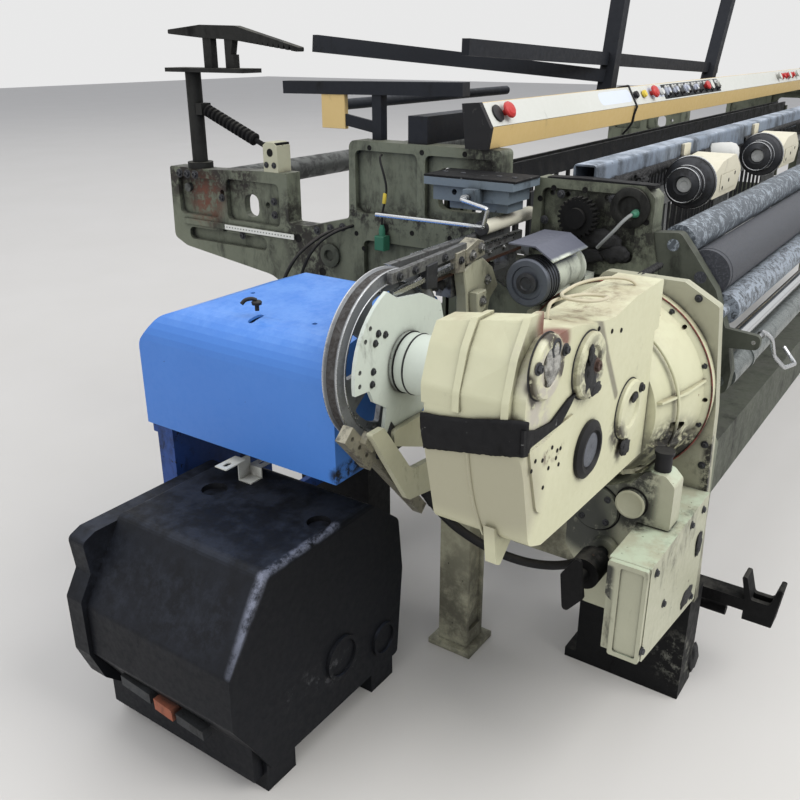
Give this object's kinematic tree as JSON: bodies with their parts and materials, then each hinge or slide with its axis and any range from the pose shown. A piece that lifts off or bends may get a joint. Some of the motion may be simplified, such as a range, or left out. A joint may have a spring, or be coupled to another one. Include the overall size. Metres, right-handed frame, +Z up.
{
  "type": "power loom",
  "caption": "Wide rapier weaving machine with its side frames, rapier drives, blue side cover, black floor housing, control panel and cloth rollers.",
  "frame": {"origin": "on the floor, under the centre of the overall box", "axes": "+X along the loom's width, +Y from the cloth side to the warp side, +Z up"},
  "size_m": [5.776, 2.0272, 1.9503],
  "materials": {
    "cream_paint": "worn satin",
    "green_paint": "worn, oily",
    "blue_paint": "satin, scratched",
    "black_paint": "worn satin",
    "grey_paint": "satin",
    "tan_paint": "satin",
    "white_sheet": "gloss, dusty",
    "bare_steel": "worn",
    "chrome": "polished",
    "cast_iron": "oily",
    "alloy": "dull",
    "black_plastic": "matt, dusty",
    "red_plastic": "gloss",
    "yellow_plastic": "gloss",
    "white_plastic": "gloss",
    "rubber": "matt",
    "roller_cover": "rough"
  },
  "bodies": {
    "frame": {"side_frame_left": "green_paint", "side_frame_right": "green_paint", "end_plates": "cream_paint", "feet": "black_paint", "cross_girders": "green_paint", "front_crossbeam": "alloy", "roller_brackets": "green_paint", "chrome_tube": "chrome", "guide_bar": "cast_iron", "take_up_gearbox": "cream_paint", "gearbox_cover": "cream_paint", "filler_cap": "black_plastic", "cloth_forks": "black_paint", "drive_housing_left": "cream_paint", "drive_cover_left": "cream_paint", "drive_housing_right": "cream_paint", "drive_plug": "rubber", "wheel_guards": "cream_paint", "tape_clamp": "bare_steel", "drive_legs": "green_paint", "side_cover": "blue_paint", "cover_stand": "blue_paint", "floor_housing": "black_plastic", "hook_bracket": "white_sheet", "panel_body": "tan_paint", "panel_face": "white_sheet", "panel_caps": "black_plastic", "weft_feeders": "cream_paint", "motor": "cream_paint", "tape_rails": "bare_steel", "back_post": "black_paint", "back_spring": "black_paint", "overhead_beams": "black_paint", "selvedge_unit": "grey_paint", "drive_hose": "rubber", "sensor_cable": "rubber"},
    "take_up_gear": {"take_up_gear": "cast_iron"},
    "take_up_roller": {"take_up_roller": "roller_cover"},
    "spreader_roller": {"spreader_roller": "bare_steel"},
    "press_roller": {"press_roller": "bare_steel"},
    "stop_handle": {"stop_handle": "bare_steel"},
    "gearbox_coupling": {"gearbox_coupling": "cast_iron"},
    "rapier_wheel_left": {"rapier_wheel_left": "alloy"},
    "rapier_wheel_right": {"rapier_wheel_right": "alloy"},
    "estop_left": {"estop_left": "red_plastic"},
    "estop_mid": {"estop_mid": "red_plastic"},
    "button_1": {"button_1": "black_plastic"},
    "button_2": {"button_2": "yellow_plastic"},
    "button_3": {"button_3": "white_plastic"},
    "feeder_drum_1": {"feeder_drum_1": "black_plastic"},
    "feeder_drum_2": {"feeder_drum_2": "black_plastic"},
    "motor_wheel": {"motor_wheel": "cast_iron"},
    "sley": {"sley": "cast_iron", "reed": "bare_steel"},
    "heald_frame_1": {"heald_frame_1": "alloy"},
    "heald_frame_2": {"heald_frame_2": "alloy"},
    "whip_roll": {"whip_roll": "bare_steel"},
    "selvedge_rod": {"selvedge_rod": "chrome"},
    "pick_gear": {"pick_gear": "cast_iron"}
  },
  "joints": [
    {"name": "rapier_wheel_left_turn", "type": "hinge", "parent": "frame", "child": "rapier_wheel_left", "pos_m": [-2.423, -0.268, 0.904], "axis": [0, 1, 0], "range_deg": [-120, 120]},
    {"name": "rapier_wheel_right_turn", "type": "hinge", "parent": "frame", "child": "rapier_wheel_right", "pos_m": [2.547, -0.268, 0.904], "axis": [0, 1, 0], "range_deg": [-120, 120]},
    {"name": "take_up_turn", "type": "hinge", "parent": "frame", "child": "take_up_roller", "pos_m": [0.062, -0.71977, 1.00994], "axis": [1, 0, 0], "continuous": true},
    {"name": "spreader_turn", "type": "hinge", "parent": "frame", "child": "spreader_roller", "pos_m": [0.062, -0.65, 1.075], "axis": [1, 0, 0], "continuous": true},
    {"name": "press_turn", "type": "hinge", "parent": "frame", "child": "press_roller", "pos_m": [0.062, -0.77088, 0.93416], "axis": [1, 0, 0], "continuous": true},
    {"name": "take_up_gear_turn", "type": "hinge", "parent": "frame", "child": "take_up_gear", "pos_m": [-1.958, -0.742, 0.8], "axis": [1, 0, 0], "continuous": true},
    {"name": "coupling_turn", "type": "hinge", "parent": "frame", "child": "gearbox_coupling", "pos_m": [-2.388, -0.704, 0.5], "axis": [1, 0, 0], "continuous": true},
    {"name": "pick_gear_turn", "type": "hinge", "parent": "frame", "child": "pick_gear", "pos_m": [-1.858, -0.43, 1.12], "axis": [1, 0, 0], "continuous": true},
    {"name": "motor_wheel_turn", "type": "hinge", "parent": "frame", "child": "motor_wheel", "pos_m": [-2.058, -0.42, 1.01], "axis": [1, 0, 0], "continuous": true},
    {"name": "feeder_1_turn", "type": "hinge", "parent": "frame", "child": "feeder_drum_1", "pos_m": [-1.258, -0.505, 1.135], "axis": [1, 0, 0], "continuous": true},
    {"name": "feeder_2_turn", "type": "hinge", "parent": "frame", "child": "feeder_drum_2", "pos_m": [-0.458, -0.505, 1.135], "axis": [1, 0, 0], "continuous": true},
    {"name": "whip_roll_turn", "type": "hinge", "parent": "frame", "child": "whip_roll", "pos_m": [0.062, 0.94, 1.07], "axis": [1, 0, 0], "continuous": true},
    {"name": "sley_swing", "type": "hinge", "parent": "frame", "child": "sley", "pos_m": [0.062, -0.25, 0.635], "axis": [1, 0, 0], "range_deg": [0, 12]},
    {"name": "heald_1_lift", "type": "slide", "parent": "frame", "child": "heald_frame_1", "axis": [0, 0, 1], "range_m": [0, 0.04]},
    {"name": "heald_2_lift", "type": "slide", "parent": "frame", "child": "heald_frame_2", "axis": [0, 0, 1], "range_m": [0, 0.04]},
    {"name": "stop_handle_swing", "type": "hinge", "parent": "frame", "child": "stop_handle", "pos_m": [-1.768, -0.854, 0.88], "axis": [1, 0, 0], "range_deg": [-30, 15]},
    {"name": "selvedge_rod_swing", "type": "hinge", "parent": "frame", "child": "selvedge_rod", "pos_m": [-2.008, -0.215, 1.166], "axis": [1, 0, 0], "range_deg": [0, 30]},
    {"name": "estop_left_press", "type": "slide", "parent": "frame", "child": "estop_left", "axis": [0, 0.8654, -0.501], "range_m": [0, 0.004], "stiffness_N_per_m": 300, "springref_m": -0.002},
    {"name": "estop_mid_press", "type": "slide", "parent": "frame", "child": "estop_mid", "axis": [0, 0.8654, -0.501], "range_m": [0, 0.004], "stiffness_N_per_m": 300, "springref_m": -0.002},
    {"name": "button_1_press", "type": "slide", "parent": "frame", "child": "button_1", "axis": [0, 0.8654, -0.501], "range_m": [0, 0.004], "stiffness_N_per_m": 300, "springref_m": -0.002},
    {"name": "button_2_press", "type": "slide", "parent": "frame", "child": "button_2", "axis": [0, 0.8654, -0.501], "range_m": [0, 0.004], "stiffness_N_per_m": 300, "springref_m": -0.002},
    {"name": "button_3_press", "type": "slide", "parent": "frame", "child": "button_3", "axis": [0, 0.8654, -0.501], "range_m": [0, 0.004], "stiffness_N_per_m": 300, "springref_m": -0.002}
  ],
  "couplings": [
    {"joint": "rapier_wheel_right_turn", "follows": "rapier_wheel_left_turn", "ratio": -1},
    {"joint": "spreader_turn", "follows": "take_up_turn", "ratio": -1.4359},
    {"joint": "press_turn", "follows": "take_up_turn", "ratio": -1.6}
  ]
}
